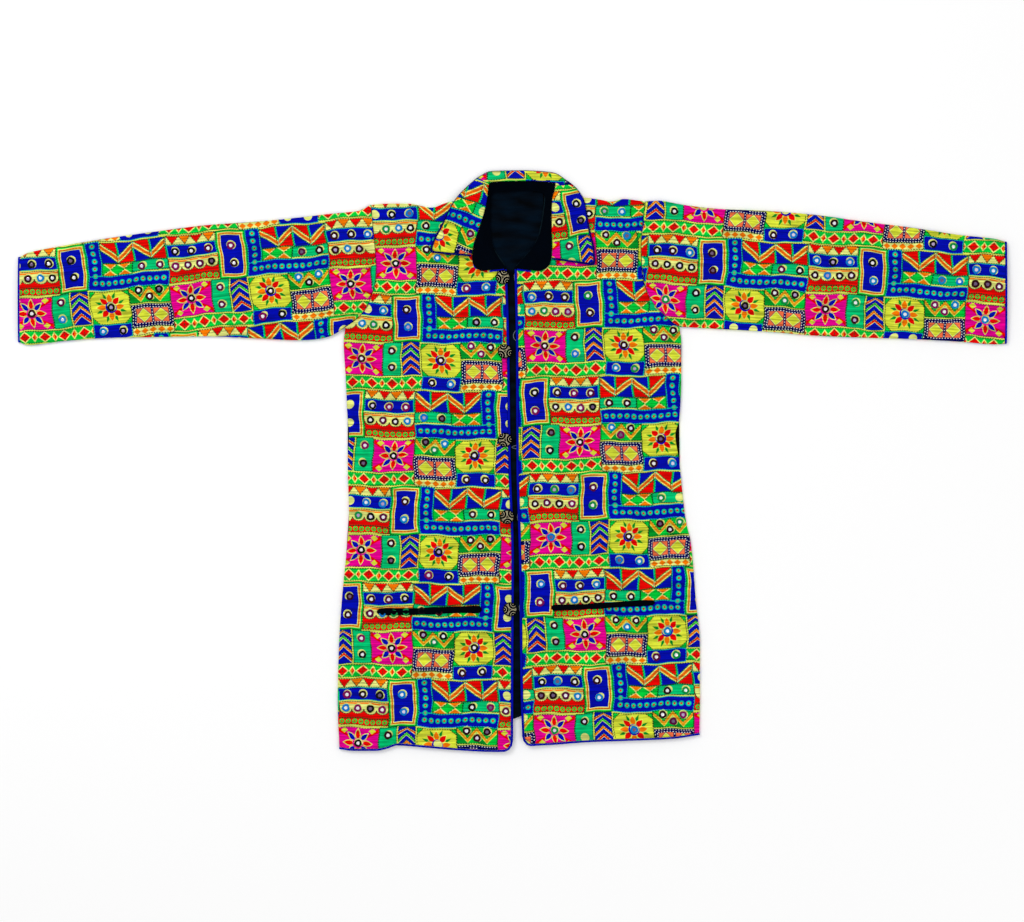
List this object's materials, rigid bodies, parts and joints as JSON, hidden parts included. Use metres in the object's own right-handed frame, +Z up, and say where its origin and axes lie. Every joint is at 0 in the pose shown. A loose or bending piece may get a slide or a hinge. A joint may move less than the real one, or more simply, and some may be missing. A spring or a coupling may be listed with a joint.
{
  "type": "long blazer laid flat",
  "caption": "Long patchwork blazer laid flat, front up: fronts, back, sleeves, fall collar with black stand, bindings, pocket welts, dome buttons and cord loops over a black lining.",
  "frame": {"origin": "centre of the footprint, on the surface that the coat lies on", "axes": "+X toward the wearer's left cuff, +Y toward the collar, +Z up out of the coat's front"},
  "size_m": [1.482, 0.8732, 0.0154],
  "materials": {
    "patchwork": "embroidered cotton patchwork, matt",
    "binding": "royal blue cotton binding",
    "lining": "black satin",
    "button": "blackened metal with a worn relief",
    "loop_cord": "thin twisted cord"
  },
  "bodies": {
    "root": {"back": "patchwork", "back_binding": "binding", "back_lining": "lining", "front_right": "patchwork", "front_left": "patchwork", "front_binding_right": "binding", "front_binding_left": "binding", "sleeve_right": "patchwork", "sleeve_left": "patchwork", "cuff_binding_right": "binding", "cuff_binding_left": "binding", "collar": "patchwork", "collar_binding": "binding", "collar_stand": "lining", "neck_piping_right": "binding", "neck_piping_left": "binding", "pocket_welt_right": "lining", "pocket_welt_left": "lining", "button_1": "button", "button_2": "button", "button_3": "button", "button_4": "button", "button_5": "button", "button_loop_1": "loop_cord", "button_loop_2": "loop_cord", "button_loop_3": "loop_cord", "button_loop_4": "loop_cord", "button_loop_5": "loop_cord"}
  },
  "joints": []
}
